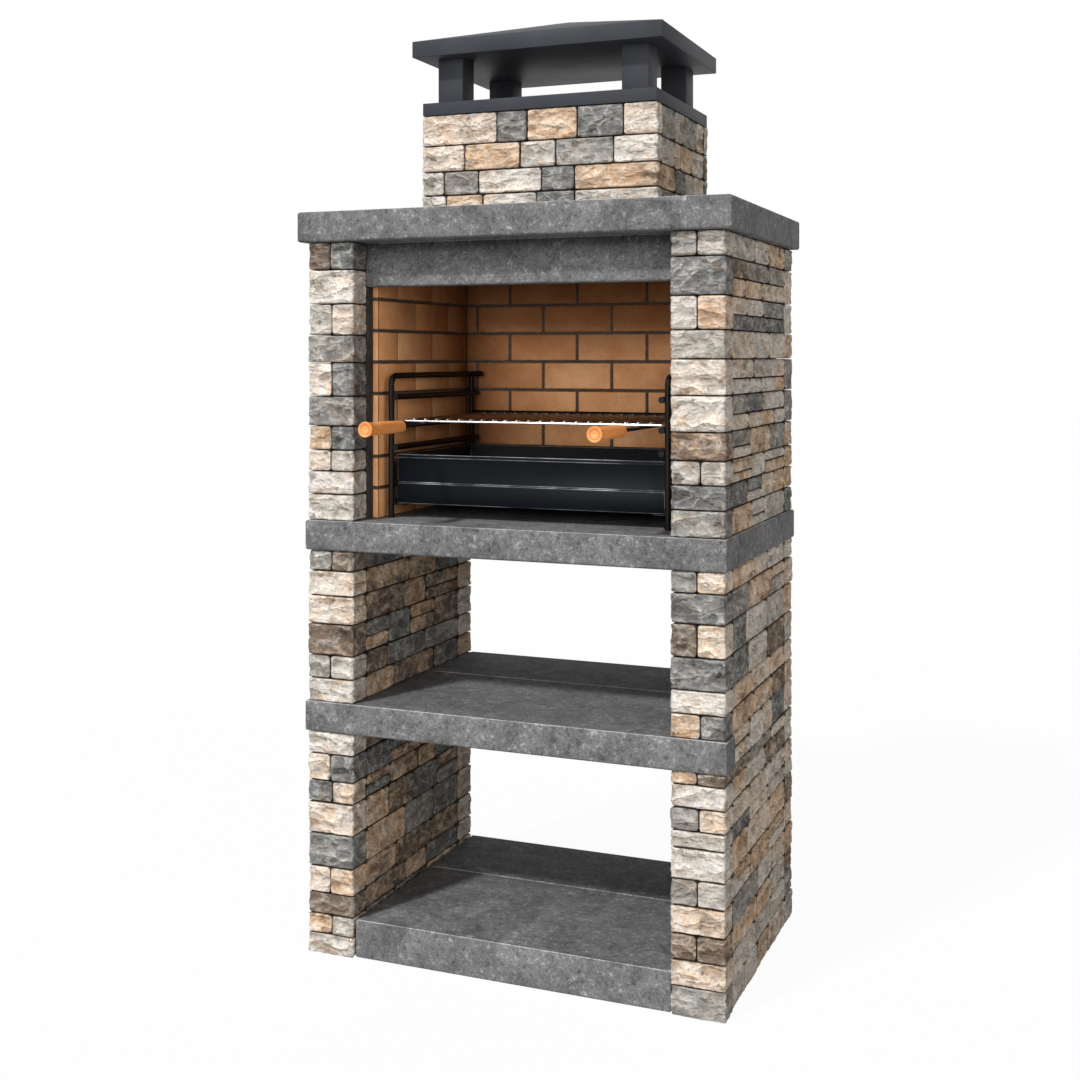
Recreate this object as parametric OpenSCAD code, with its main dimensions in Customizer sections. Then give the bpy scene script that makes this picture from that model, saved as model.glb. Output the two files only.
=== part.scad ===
// Masonry barbecue with a firebrick chamber, chimney and steel grill set.
// Two side walls of cast concrete are faced with split stone and carry four slabs.
// The origin is on the ground, midway between the walls and midway along their depth.
// The front faces -Y and +Z is up.

/* [Overall] */
// Width over the two side walls
body_w = 900; // [800:10:1200]
// Depth of the side walls
body_d = 590; // [540:10:720]
// Thickness of a side wall at its corner blocks
wall_t = 110; // [100:1:140]

/* [Levels] */
// Height from the ground to the underside of the shelf
lower_h = 464; // [380:1:560]
// Height of the walls between shelf and hearth
middle_h = 316; // [240:1:420]
// Height of the walls beside the fire chamber
upper_h = 580; // [540:1:700]
// Height of the stone chimney above the mantel
chimney_h = 216; // [160:1:400]

/* [Slabs] */
// Thickness of the plinth slab
plinth_t = 78; // [60:1:100]
// Thickness of the shelf slab
shelf_t = 62; // [50:1:80]
// Thickness of the hearth slab
hearth_t = 62; // [50:1:80]
// Thickness of the mantel slab
mantel_t = 63; // [50:1:90]
// How far the plinth stands back from the front of the walls
plinth_setback = 12; // [4:1:40]
// Depth of the front slab of the plinth and of the shelf, from the front of the walls
front_slab_d = 355; // [260:5:420]
// How far the shelf and hearth stand out past the stone
slab_over = 2; // [0:0.5:10]
// How far the mantel stands out at the front and sides
mantel_over = 14; // [4:1:60]
// Bevel along the edges of a slab
slab_edge = 3; // [1:0.5:6]

/* [Stonework] */
// Depth of the front corner blocks
front_block_d = 62; // [50:1:90]
// Depth of the rear corner blocks
rear_block_d = 77; // [50:1:100]
// Thickness of the stone facing outside
outer_facing_t = 22; // [16:1:34]
// Thickness of the stone facing inside the bays
inner_facing_t = 18; // [12:1:26]
// Open joint between two stones
stone_joint = 0.8; // [0.4:0.1:0.9]
// Bevel along the broken edges of a stone
stone_edge = 4; // [2:0.5:6]
// Height from which a course of the upper walls is laid as two thin ones
paired_course_h = 61; // [50:1:90]
// Greatest depth that a stone is set back from the wall's face
stone_setback = 3; // [0:0.5:4]

/* [Fire chamber] */
// How far the brick lining stands inside the wall's inner face
lining_proud = 15; // [8:1:24]
// Thickness of a firebrick
brick_t = 25; // [20:1:40]
// Length of a firebrick
brick_l = 165; // [110:1:230]
// Height of a firebrick
brick_h = 61.5; // [50:0.5:76]
// Width of the mortar joint between firebricks
mortar_w = 5; // [3:0.5:10]
// Width of the upright joints on the side walls, where the bricks butt
butt_w = 0.8; // [0.5:0.1:5]
// Distance of the first upright joint from the middle, in the even courses
brick_bond = 42; // [0:1:85]
// Depth that the mortar joint is raked back
mortar_rake = 2.5; // [0.5:0.5:6]
// Thickness of the mortar bed behind the firebricks
bed_t = 12; // [6:1:20]
// Thickness of the concrete back panel
back_panel_t = 25; // [20:1:40]
// Depth of the jambs behind the front blocks
jamb_d = 22; // [15:1:50]
// Height of the lintel
lintel_h = 92; // [60:1:120]
// Height of the upright lower band of the lintel
lintel_band_h = 39; // [20:1:50]
// How far the lintel stands in front of the jambs
lintel_proud = 7; // [2:1:20]
// How far the lintel leans back at its top
lintel_lean = 13; // [4:1:20]
// How far a jamb shows inside the front blocks
jamb_reveal = 2; // [1:0.5:12]
// Clearance between the lintel's ends and the front blocks
lintel_gap = 0.3; // [0.2:0.1:3]

/* [Chimney] */
// Width of the chimney over its stones
chimney_w = 532; // [440:2:640]
// Depth of the chimney over its stones
chimney_d = 385; // [300:5:420]
// Distance from the back of the walls to the back of the chimney
chimney_back = 40; // [10:1:60]
// Thickness of the chimney's stones
chimney_stone_t = 35; // [20:1:40]
// Wall of the flue block
flue_wall = 38; // [25:1:50]

/* [Cap] */
// Height of the cap's base ring
ring_h = 27; // [20:1:40]
// How far the base ring stands in from the stones' faces
ring_inset = 3; // [0:0.5:8]
// Thickness of the cap's sheet steel
sheet_t = 2; // [1:0.5:4]
// Side of a square post
post_w = 58; // [30:1:70]
// Height of the posts
post_h = 97; // [60:1:160]
// Distance from the stones' faces to a post
post_inset = 28; // [10:1:50]
// How far the roof stands out past the stones
roof_over = 14; // [8:1:50]
// Height of the roof's fascia
fascia_h = 34; // [20:1:60]
// Rise of the hipped top above the fascia
hip_rise = 62; // [8:1:90]

/* [Grill rack] */
// Gap between a side frame and the brick wall beside it
rack_side_gap = 13; // [4:0.5:40]
// Distance from the front of the walls to the centre of the front legs
rack_front = 105; // [98:1:140]
// Distance from the back brick wall to the centre of the rear legs
rack_back_gap = 18; // [10:1:60]
// Height of the top rail's centre above the hearth
rack_h = 301; // [270:1:340]
// Diameter of the frame tube
rack_tube = 12.5; // [8:0.5:14]
// Radius of the bend at the top front corner, to the tube's centre
rack_bend = 20; // [14:1:30]
// Length of the tube ends bent inwards behind the grid
rack_stub = 28; // [16:1:40]
// Upright leg of the tray's angle runners
runner_h = 14; // [10:1:18]
// Flat leg of the tray's angle runners
runner_w = 24; // [18:1:30]
// Thickness of the angle runners
runner_t = 2.5; // [2:0.5:3]
// Height of the tray's runners above the hearth
tray_level = 30; // [26:1:40]
// Height of the lowest grid rest's centre above the hearth
rest_low = 150; // [148:1:156]
// Height of the middle grid rest's centre above the hearth, where the grid lies
rest_mid = 196; // [184:1:204]
// Height of the highest grid rest's centre above the hearth
rest_high = 256; // [236:1:262]

/* [Cooking grid] */
// Gap between the grid's side rods and the legs
grid_side_gap = 5.5; // [3:0.5:7]
// Distance from the centre of the front legs to the front of the grid
grid_front = 20; // [10:1:24]
// Distance from the centre of the rear legs to the back of the grid
grid_back = 13; // [10:1:40]
// Diameter of the frame rod
grid_rod = 5; // [4:0.5:6]
// Diameter of a cross wire
grid_wire = 3.5; // [2.5:0.25:4.5]
// Number of cross wires
wire_count = 21; // [12:1:30]
// Depth that crossing rods sink into each other at a weld
weld_sink = 0.4; // [0.2:0.1:0.8]
// Distance from the side of the grid to a handle
handle_inset = 56; // [30:1:120]
// Diameter of a handle's steel shank
shank_d = 8; // [6:0.5:10]
// Length of shank between the grid's front rod and the grip
shank_free = 105; // [60:1:140]
// Length of a wooden grip
grip_l = 155; // [110:1:180]
// Diameter of the flared end of a grip
grip_d = 31; // [26:0.5:38]

/* [Charcoal tray] */
// Gap between the tray's sides and the legs
tray_side_gap = 3; // [3:0.5:16]
// Distance from the centre of the front legs to the tray's front
tray_front = 7.5; // [6:0.5:30]
// Distance from the centre of the rear legs to the tray's back
tray_back = 25.5; // [10:0.5:60]
// Height of the tray
tray_h = 104; // [80:1:110]
// Thickness of the tray's sheet steel
tray_t = 2; // [1.5:0.5:3]
// Height of the ledge pressed into the tray's front
tray_ledge_h = 43; // [20:1:60]
// Depth of the ledge pressed into the tray's front
tray_ledge_d = 5; // [2:0.5:8]
// Width of the hem round the tray's rim
tray_hem = 7; // [4:0.5:9]
// Clearance under a piece that slides
slide_gap = 0.3; // [0.2:0.1:0.5]

/* [Hidden] */
$fn = 48;
eps = 1;

// Colours of the finishes
concrete_grey = [0.33, 0.34, 0.35];
jamb_grey = [0.20, 0.20, 0.21];
core_grey = [0.55, 0.54, 0.52];
stone_tones = [
    [0.85, 0.80, 0.73], [0.62, 0.62, 0.61], [0.78, 0.62, 0.46],
    [0.45, 0.47, 0.49], [0.72, 0.67, 0.60], [0.36, 0.38, 0.40]
];
firebrick_tan = [0.78, 0.53, 0.33];
mortar_brown = [0.32, 0.26, 0.21];
cap_anthracite = [0.20, 0.21, 0.23];
rack_black = [0.08, 0.08, 0.09];
tray_black = [0.10, 0.11, 0.12];
bright_chrome = [0.82, 0.82, 0.83];
grip_wood = [0.82, 0.52, 0.28];

// Heights of the stone courses as laid, from the bottom up, stretched to fit each wall
left_lower_courses = [42, 41, 44, 55, 69, 65, 45, 56, 47];
left_middle_courses = [49, 48, 65, 59, 52, 43];
left_upper_courses = [55, 48, 44, 50, 62, 70, 57, 65, 71, 58];
right_lower_courses = [58, 50, 49, 53, 50, 59, 33, 43, 44, 25];
right_middle_courses = [46, 45, 62, 63, 58, 42];
right_upper_courses = [52, 47, 46, 54, 69, 69, 55, 65, 74, 49];
chimney_courses = [43, 51, 56, 66];

// Courses of the front corner columns that are laid with two stones side by side
left_lower_pairs = [1, 3, 6, 7];
left_middle_pairs = [1, 5];
left_upper_pairs = [2, 3, 5, 7, 9];
right_lower_pairs = [2, 4, 7, 9];
right_middle_pairs = [0, 3, 5];
right_upper_pairs = [2, 7, 9];
no_pairs = [];

// Upright joints across the front of the chimney, as shares of its width, course by course
chimney_front_joints = [
    [0.11, 0.27, 0.50, 0.66], [0.10, 0.25, 0.52, 0.66], [0.19, 0.43, 0.58, 0.82],
    [0.33, 0.46, 0.67, 0.86]
];

// Levels, from the ground up
shelf_z = lower_h;
shelf_top = shelf_z + shelf_t;
hearth_z = shelf_top + middle_h;
hearth_top = hearth_z + hearth_t;
mantel_z = hearth_top + upper_h;
mantel_top = mantel_z + mantel_t;
chimney_top = mantel_top + chimney_h;
ring_top = chimney_top + ring_h;
roof_z = ring_top + post_h;

// Plan lines of the walls
wall_x = body_w / 2;
inner_x = wall_x - wall_t;
front_y = -body_d / 2;
rear_y = body_d / 2;
front_block_y = front_y + front_block_d;
rear_block_y = rear_y - rear_block_d;
core_l = rear_block_y - front_block_y;
core_x = wall_x - outer_facing_t;
bay_core_x = inner_x + inner_facing_t;
slab_joint_y = front_y + front_slab_d;

// Plan lines of the fire chamber
brick_x = inner_x - lining_proud;
bed_x = brick_x + brick_t;
lining_x = bed_x + bed_t;
panel_y = rear_y - back_panel_t;
bed_y = panel_y - bed_t;
brick_y = bed_y - brick_t;
jamb_back_y = front_block_y + jamb_d;
lintel_z = mantel_z - lintel_h;
jamb_x = inner_x - jamb_reveal;
brick_pitch_l = brick_l + mortar_w;
brick_pitch_h = brick_h + mortar_w;
brick_rows = ceil((upper_h - mortar_w - stone_edge) / brick_pitch_h);

// Plan lines of the chimney and its cap
chimney_x = chimney_w / 2;
chimney_rear_y = rear_y - chimney_back;
chimney_front_y = chimney_rear_y - chimney_d;
flue_inset = chimney_stone_t + flue_wall;
chimney_corners = [[-chimney_x, chimney_front_y], [chimney_x, chimney_rear_y]];

// Places of the grill set
leg_x = brick_x - rack_side_gap - rack_tube / 2;
leg_front_y = front_y + rack_front;
leg_rear_y = brick_y - rack_back_gap;
rack_d = leg_rear_y - leg_front_y;
rack_top = hearth_top + rack_h;
runner_x = leg_x - rack_tube / 2 + weld_sink;
rest_x = leg_x - rack_tube + weld_sink;
tray_z = hearth_top + tray_level + slide_gap;
grid_w = 2 * leg_x - rack_tube - 2 * grid_side_gap;
grid_d = rack_d - grid_front - grid_back;
grid_side_x = (grid_w - grid_rod) / 2;
rest_reach = (rack_tube + grid_rod) / 2 + slide_gap;
grid_z = hearth_top + rest_mid + sqrt(pow(rest_reach, 2) - pow(rest_x - grid_side_x, 2));
grid_front_y = leg_front_y + grid_front;
wire_z = grid_z + grid_rod / 2 + grid_wire / 2 - weld_sink;
shank_z = grid_z - grid_rod / 2 - shank_d / 2 + weld_sink;
tray_w = 2 * leg_x - rack_tube - 2 * tray_side_gap;
tray_front_y = leg_front_y + tray_front;
tray_d = rack_d - tray_front - tray_back;
stiffener_y = [grid_front_y + grid_d * 0.33, grid_front_y + grid_d * 0.67];
handle_x = grid_w / 2 - handle_inset;
grip_y = grid_front_y - shank_free;
single_course_h = 10 * paired_course_h;
tang_l = grip_l * 0.4;

// Sum of the first n values of a list
function sum_to(v, n) = n == 0 ? 0 : v[n - 1] + sum_to(v, n - 1);
// The bed levels of a list of courses stretched to a height
function bed_levels(courses, height) =
    [for (i = [0:len(courses)]) height * sum_to(courses, i) / sum_to(courses, len(courses))];
// One repeatable random value
function pick(low, high, seed) = rands(low, high, 1, seed)[0];
// Uneven joint places along a run of n stones
function uneven_joints(length, n, seed) =
    let (shares = rands(0.65, 1.35, n, seed))
    [for (i = [0:n]) length * sum_to(shares, i) / sum_to(shares, n)];
// Whether a list holds a value
function holds(list, value) = len([for (v = list) if (v == value) v]) > 0;
// The courses of a side wall that runs past the shelf's edge
function tall_courses(lower, middle) = concat(
    [for (c = lower) c * lower_h / sum_to(lower, len(lower))],
    [shelf_t],
    [for (c = middle) c * middle_h / sum_to(middle, len(middle))]
);

// Outline of a rectangle with its four corners cut off
module cut_rectangle(a, b, cut) {
    polygon([
        [cut, 0], [a - cut, 0], [a, cut], [a, b - cut],
        [a - cut, b], [cut, b], [0, b - cut], [0, cut]
    ]);
}

// A block with all its edges broken, from the origin out to size
module dressed_block(size, edge) {
    intersection() {
        linear_extrude(size[2]) cut_rectangle(size[0], size[1], edge);
        translate([0, size[1], 0]) rotate([90, 0, 0])
            linear_extrude(size[1]) cut_rectangle(size[0], size[2], edge);
        rotate([90, 0, 90]) linear_extrude(size[0]) cut_rectangle(size[1], size[2], edge);
    }
}

// A facing stone on the plane x = 0, its broken face towards +X
module facing_stone(y0, y1, z0, z1, t) {
    edge = min(stone_edge, (z1 - z0) / 4);
    translate([0, y0, z0]) intersection() {
        linear_extrude(z1 - z0)
            polygon([
                [0, 0], [t - edge, 0], [t, edge],
                [t, y1 - y0 - edge], [t - edge, y1 - y0], [0, y1 - y0]
            ]);
        translate([0, y1 - y0, 0]) rotate([90, 0, 0]) linear_extrude(y1 - y0)
            polygon([
                [0, 0], [t - edge, 0], [t, edge],
                [t, z1 - z0 - edge], [t - edge, z1 - z0], [0, z1 - z0]
            ]);
    }
}

// One run of facing stones between two beds, with every fifth or so laid as two thin ones
module facing_run(length, z0, z1, t, seed) {
    n = max(2, round(length / pick(120, 175, seed)));
    joints = uneven_joints(length, n, seed + 1);
    for (i = [0:n - 1]) {
        y0 = joints[i] + (i == 0 ? 0 : stone_joint / 2);
        y1 = joints[i + 1] - (i == n - 1 ? 0 : stone_joint / 2);
        thin = z1 - z0 > 44 && pick(0, 1, seed + 20 + i) < 0.2;
        zm = z0 + (z1 - z0) * pick(0.4, 0.6, seed + 40 + i);
        tone = floor(pick(0, 5.99, seed + 60 + i));
        set_in = pick(0, stone_setback, seed + 80 + i);
        color(stone_tones[tone]) {
            facing_stone(y0, y1, z0, thin ? zm - stone_joint / 2 : z1, t - set_in);
            if (thin) facing_stone(y0, y1, zm + stone_joint / 2, z1, t - stone_setback + set_in);
        }
    }
}

// A wall face of coursed stones; courses higher than split_h are laid as two thin runs
module coursed_facing(courses, height, length, t, split_h, seed) {
    beds = bed_levels(courses, height);
    for (i = [0:len(courses) - 1]) {
        z0 = beds[i] + (i == 0 ? 0 : stone_joint / 2);
        z1 = beds[i + 1] - stone_joint / 2;
        zm = z0 + (z1 - z0) * pick(0.44, 0.56, seed + 7 * i);
        if (z1 - z0 > split_h) {
            facing_run(length, z0, zm - stone_joint / 2, t, seed + 100 * i);
            facing_run(length, zm + stone_joint / 2, z1, t, seed + 100 * i + 50);
        } else {
            facing_run(length, z0, z1, t, seed + 100 * i);
        }
    }
}

// A column of corner blocks, width along X from the outer face, depth along Y
module corner_column(courses, pairs, height, width, depth, seed) {
    beds = bed_levels(courses, height);
    for (i = [0:len(courses) - 1]) {
        z0 = beds[i] + (i == 0 ? 0 : stone_joint / 2);
        z1 = beds[i + 1] - stone_joint / 2;
        shy = rands(0, stone_setback * 0.7, 4, seed + i);
        edge = min(stone_edge, (z1 - z0) / 4);
        split = width * pick(0.46, 0.54, seed + 30 + i);
        tone = floor(pick(0, 5.99, seed + 50 + i));
        if (holds(pairs, i)) {
            color(stone_tones[tone]) translate([shy[0], shy[1], z0])
                dressed_block([split - stone_joint / 2 - shy[0], depth - shy[1], z1 - z0], edge);
            color(stone_tones[(tone + 2) % 6]) translate([split + stone_joint / 2, shy[2], z0])
                dressed_block([width - split - stone_joint / 2, depth - shy[2], z1 - z0], edge);
        } else {
            color(stone_tones[tone]) translate([shy[0], shy[1], z0])
                dressed_block([width - shy[0], depth - shy[1], z1 - z0], edge);
        }
    }
}

// Puts a child drawn for the right wall on the left as well as it stands
module on_left() {
    mirror([1, 0, 0]) children();
}

// Front corner blocks of the right wall, from bed level z
module front_blocks(courses, pairs, z, height, seed) {
    translate([wall_x, front_y, z]) mirror([1, 0, 0])
        corner_column(courses, pairs, height, wall_t, front_block_d, seed);
}

// Rear corner blocks of the right wall, which turn their broken face to the back
module rear_blocks(courses, z, height, width, seed) {
    translate([wall_x, rear_y, z]) mirror([1, 0, 0]) mirror([0, 1, 0])
        corner_column(courses, no_pairs, height, width, rear_block_d, seed);
}

// Outer facing of the right wall
module outer_facing(courses, z, height, split_h, seed) {
    translate([core_x, front_block_y, z])
        coursed_facing(courses, height, core_l, outer_facing_t, split_h, seed);
}

// Inner facing of the right wall, inside a bay
module inner_facing(courses, z, height, seed) {
    translate([bay_core_x, front_block_y, z]) mirror([1, 0, 0])
        coursed_facing(courses, height, core_l, inner_facing_t, single_course_h, seed);
}

// Cast core of the right wall between its corner blocks
module wall_core(x0, x1, z, height) {
    color(core_grey) translate([x0, front_block_y, z]) cube([x1 - x0, core_l, height]);
}

// A slab between given faces, with bevelled front and side edges
module cast_slab(x0, x1, y0, y1, z, t) {
    color(concrete_grey) translate([x0, y0, z]) intersection() {
        translate([0, y1 - y0, 0]) rotate([90, 0, 0])
            linear_extrude(y1 - y0) cut_rectangle(x1 - x0, t, slab_edge);
        rotate([90, 0, 90]) linear_extrude(x1 - x0) cut_rectangle(y1 - y0, t, slab_edge);
    }
}

// Plinth on the ground between the walls
module plinth_front_slab() {
    cast_slab(-inner_x, inner_x, front_y + plinth_setback, slab_joint_y, 0, plinth_t);
}

module plinth_rear_slab() {
    cast_slab(-inner_x, inner_x, slab_joint_y, rear_y, 0, plinth_t);
}

// Shelf: the front slab has a lip over the front blocks and its sides lie on the wall cores
module shelf_front_slab() {
    lip_x = wall_x + slab_over;
    lip_y = front_y - slab_over;
    color(concrete_grey) translate([0, 0, shelf_z]) intersection() {
        linear_extrude(shelf_t)
            polygon([
                [-lip_x, lip_y], [lip_x, lip_y], [lip_x, front_block_y], [core_x, front_block_y],
                [core_x, slab_joint_y], [-core_x, slab_joint_y], [-core_x, front_block_y],
                [-lip_x, front_block_y]
            ]);
        translate([-lip_x, lip_y, 0]) rotate([90, 0, 90])
            linear_extrude(2 * lip_x) cut_rectangle(slab_joint_y - lip_y, shelf_t, slab_edge);
    }
}

module shelf_rear_slab() {
    color(concrete_grey) translate([0, 0, shelf_z]) intersection() {
        linear_extrude(shelf_t)
            polygon([
                [-core_x, slab_joint_y], [core_x, slab_joint_y], [core_x, rear_block_y],
                [inner_x, rear_block_y], [inner_x, rear_y], [-inner_x, rear_y],
                [-inner_x, rear_block_y], [-core_x, rear_block_y]
            ]);
        translate([-core_x, slab_joint_y, 0]) rotate([90, 0, 90])
            linear_extrude(2 * core_x) cut_rectangle(rear_y - slab_joint_y, shelf_t, slab_edge);
    }
}

// Hearth over the whole plan of the walls
module hearth_slab() {
    reach = wall_x + slab_over;
    cast_slab(-reach, reach, front_y - slab_over, rear_y, hearth_z, hearth_t);
}

// Mantel with the opening that lets the smoke into the flue
module mantel_slab() {
    reach = wall_x + mantel_over;
    color(concrete_grey) difference() {
        cast_slab(-reach, reach, front_y - mantel_over, rear_y, mantel_z, mantel_t);
        flue_space(mantel_z - eps, mantel_t + 2 * eps);
    }
}

// The clear space of the flue
module flue_space(z, height) {
    translate([-chimney_x + flue_inset, chimney_front_y + flue_inset, z])
        cube([chimney_w - 2 * flue_inset, chimney_d - 2 * flue_inset, height]);
}

// Lintel with an upright lower band and an upper band that leans back. It fills the width
// between the front blocks, and its back part runs on over the jambs.
module lintel() {
    face_y = front_block_y - lintel_proud;
    half_w = inner_x - lintel_gap;
    color(concrete_grey) {
        translate([-half_w, 0, 0]) rotate([90, 0, 90]) linear_extrude(2 * half_w)
            polygon([
                [face_y + slab_edge, lintel_z], [jamb_back_y, lintel_z], [jamb_back_y, mantel_z],
                [face_y + lintel_lean, mantel_z], [face_y, lintel_z + lintel_band_h],
                [face_y, lintel_z + slab_edge]
            ]);
        translate([-lining_x, front_block_y + lintel_gap, lintel_z])
            cube([2 * lining_x, jamb_d - lintel_gap, lintel_h]);
    }
}

// Jamb behind the front blocks, closing the end of the brick lining and carrying the lintel
module right_jamb() {
    color(jamb_grey) translate([jamb_x, front_block_y, hearth_top])
        cube([lining_x - jamb_x, jamb_d, lintel_z - hearth_top]);
}

// Concrete panel that closes the back of the fire chamber
module chamber_back_panel() {
    color(core_grey) translate([-lining_x, panel_y, hearth_top])
        cube([2 * lining_x, back_panel_t, upper_h]);
}

// Firebricks laid in running bond on the plane y = 0, faces towards -Y, from x = a to x = b.
// grow lengthens them past their own face, to cut their pockets in the mortar.
module brick_bond_panel(a, b, joint, grow) {
    first = floor((a - brick_bond) / brick_pitch_l) - 1;
    last = ceil((b - brick_bond) / brick_pitch_l) + 1;
    for (row = [0:brick_rows - 1]) {
        z0 = row * brick_pitch_h;
        z1 = min(z0 + brick_h, upper_h);
        shift = row % 2 == 0 ? 0 : brick_pitch_l / 2;
        for (k = [first:last]) {
            x0 = max(a, brick_bond + shift + k * brick_pitch_l + joint / 2);
            x1 = min(b, brick_bond + shift + (k + 1) * brick_pitch_l - joint / 2);
            if (x1 - x0 > 2 * mortar_w)
                translate([x0, -brick_t - grow, z0]) cube([x1 - x0, brick_t + grow, z1 - z0]);
        }
    }
}

// Mortar bed with joints that stand up between the bricks, raked back from their faces
module mortar_panel(a, b, bed_a, bed_b, joint) {
    difference() {
        union() {
            translate([bed_a, 0, 0]) cube([bed_b - bed_a, bed_t, upper_h]);
            translate([a, mortar_rake - brick_t, 0]) cube([b - a, brick_t - mortar_rake, upper_h]);
        }
        brick_bond_panel(a, b, joint, eps);
    }
}

// Turns a panel drawn along X onto the inner face of the right wall
module on_right_lining() {
    translate([bed_x, 0, hearth_top]) rotate([0, 0, -90]) children();
}

module back_firebricks() {
    color(firebrick_tan) translate([0, bed_y, hearth_top])
        brick_bond_panel(-brick_x, brick_x, mortar_w, 0);
}

module back_mortar_bed() {
    color(mortar_brown) translate([0, bed_y, hearth_top])
        mortar_panel(-brick_x, brick_x, -bed_x, bed_x, mortar_w);
}

module right_firebricks() {
    color(firebrick_tan) on_right_lining()
        brick_bond_panel(-brick_y, -jamb_back_y, butt_w, 0);
}

module right_mortar_bed() {
    color(mortar_brown) on_right_lining()
        mortar_panel(-brick_y, -jamb_back_y, -panel_y, -jamb_back_y, butt_w);
}

// Flue block inside the chimney's stones
module flue_block() {
    t = chimney_stone_t;
    color(core_grey) difference() {
        translate([-chimney_x + t, chimney_front_y + t, mantel_top])
            cube([chimney_w - 2 * t, chimney_d - 2 * t, chimney_h]);
        flue_space(mantel_top - eps, chimney_h + 2 * eps);
    }
}

// One course of stones on one side of the chimney, on the plane x = 0 facing +X
module chimney_run(joints, z0, z1, seed) {
    n = len(joints) - 1;
    for (i = [0:n - 1]) {
        y0 = joints[i] + (i == 0 ? 0 : stone_joint / 2);
        y1 = joints[i + 1] - (i == n - 1 ? 0 : stone_joint / 2);
        shy = pick(0, stone_setback * 0.7, seed + i);
        color(stone_tones[floor(pick(0, 5.99, seed + 10 + i))])
            facing_stone(y0, y1, z0, z1, chimney_stone_t - shy);
    }
}

// Stones round the flue block. The front and back courses run to the corners, and the
// side courses stand between them.
module chimney_stones() {
    beds = bed_levels(chimney_courses, chimney_h);
    t = chimney_stone_t;
    side_l = chimney_d - 2 * (t + stone_joint);
    for (i = [0:len(chimney_courses) - 1]) {
        z0 = mantel_top + beds[i] + (i == 0 ? 0 : stone_joint / 2);
        z1 = mantel_top + beds[i + 1] - stone_joint / 2;
        front_joints = concat([0], [for (s = chimney_front_joints[i]) s * chimney_w], [chimney_w]);
        translate([-chimney_x, chimney_front_y + t, 0]) rotate([0, 0, -90])
            chimney_run(front_joints, z0, z1, 300 + 20 * i);
        translate([chimney_x, chimney_rear_y - t, 0]) rotate([0, 0, 90])
            chimney_run(uneven_joints(chimney_w, 5, 340 + i), z0, z1, 360 + 20 * i);
        for (side = [0, 1]) mirror([side, 0, 0])
            translate([chimney_x - t, (chimney_front_y + chimney_rear_y - side_l) / 2, 0])
                chimney_run(uneven_joints(side_l, 4, 400 + 9 * i + side), z0, z1, 440 + 20 * i + 7 * side);
    }
}

// Cap base: a steel ring folded as a channel, open below
module cap_base_ring() {
    w = chimney_w - 2 * ring_inset;
    d = chimney_d - 2 * ring_inset;
    wide = flue_inset - ring_inset;
    color(cap_anthracite) translate([-w / 2, chimney_front_y + ring_inset, chimney_top]) difference() {
        cube([w, d, ring_h]);
        translate([wide, wide, -eps]) cube([w - 2 * wide, d - 2 * wide, ring_h + 2 * eps]);
        difference() {
            translate([sheet_t, sheet_t, -eps])
                cube([w - 2 * sheet_t, d - 2 * sheet_t, ring_h + eps - sheet_t]);
            translate([wide - sheet_t, wide - sheet_t, -2 * eps])
                cube([w - 2 * wide + 2 * sheet_t, d - 2 * wide + 2 * sheet_t, ring_h + 4 * eps]);
        }
    }
}

// Four square tube posts between ring and soffit
module cap_posts() {
    color(cap_anthracite) for (side = [0, 1]) mirror([side, 0, 0])
        for (y = [chimney_front_y + post_inset, chimney_rear_y - post_inset - post_w])
            translate([chimney_x - post_inset - post_w, y, ring_top]) difference() {
                cube([post_w, post_w, post_h]);
                translate([sheet_t, sheet_t, -eps])
                    cube([post_w - 2 * sheet_t, post_w - 2 * sheet_t, post_h + 2 * eps]);
            }
}

// Flat soffit plate on the posts
module cap_soffit() {
    out = roof_over - sheet_t;
    color(cap_anthracite) translate([-chimney_x - out, chimney_front_y - out, roof_z])
        cube([chimney_w + 2 * out, chimney_d + 2 * out, sheet_t]);
}

// Outer form of the roof, drawn in by a margin: fascia box with a four-sided hip on it
module roof_form(inset) {
    w = chimney_w + 2 * roof_over - 2 * inset;
    d = chimney_d + 2 * roof_over - 2 * inset;
    translate([-w / 2, chimney_front_y - roof_over + inset, 0]) intersection() {
        translate([0, d, 0]) rotate([90, 0, 0]) linear_extrude(d)
            polygon([[0, 0], [w, 0], [w, fascia_h - inset], [w / 2, fascia_h + hip_rise - inset],
                [0, fascia_h - inset]]);
        rotate([90, 0, 90]) linear_extrude(w)
            polygon([[0, 0], [d, 0], [d, fascia_h - inset], [d / 2, fascia_h + hip_rise - inset],
                [0, fascia_h - inset]]);
    }
}

// Roof pressed from one sheet, open below
module cap_roof() {
    color(cap_anthracite) translate([0, 0, roof_z]) difference() {
        roof_form(0);
        translate([0, 0, -eps]) roof_form(sheet_t);
    }
}

// Angle runner for the tray, upright leg against the tube legs and flat leg inwards
module tray_runner() {
    t = runner_t;
    translate([runner_x, leg_rear_y, hearth_top + tray_level]) rotate([90, 0, 0])
        linear_extrude(rack_d)
            polygon([
                [0, -t], [0, runner_h - t], [-t, runner_h - t],
                [-t, 0], [-runner_w, 0], [-runner_w, -t]
            ]);
}

// A tube along Y welded to the inner sides of the legs, for the grid to slide on
module grid_rest(level) {
    r = rack_tube / 2;
    translate([rest_x, leg_front_y - r, hearth_top + level]) rotate([-90, 0, 0])
        cylinder(h = rack_d + rack_tube, r = r);
}

// A tube end that points inwards from a rear leg
module rear_stub(level) {
    r = rack_tube / 2;
    translate([leg_x + r, leg_rear_y, hearth_top + level]) rotate([0, -90, 0])
        cylinder(h = rack_stub + r, r = r);
}

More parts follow.
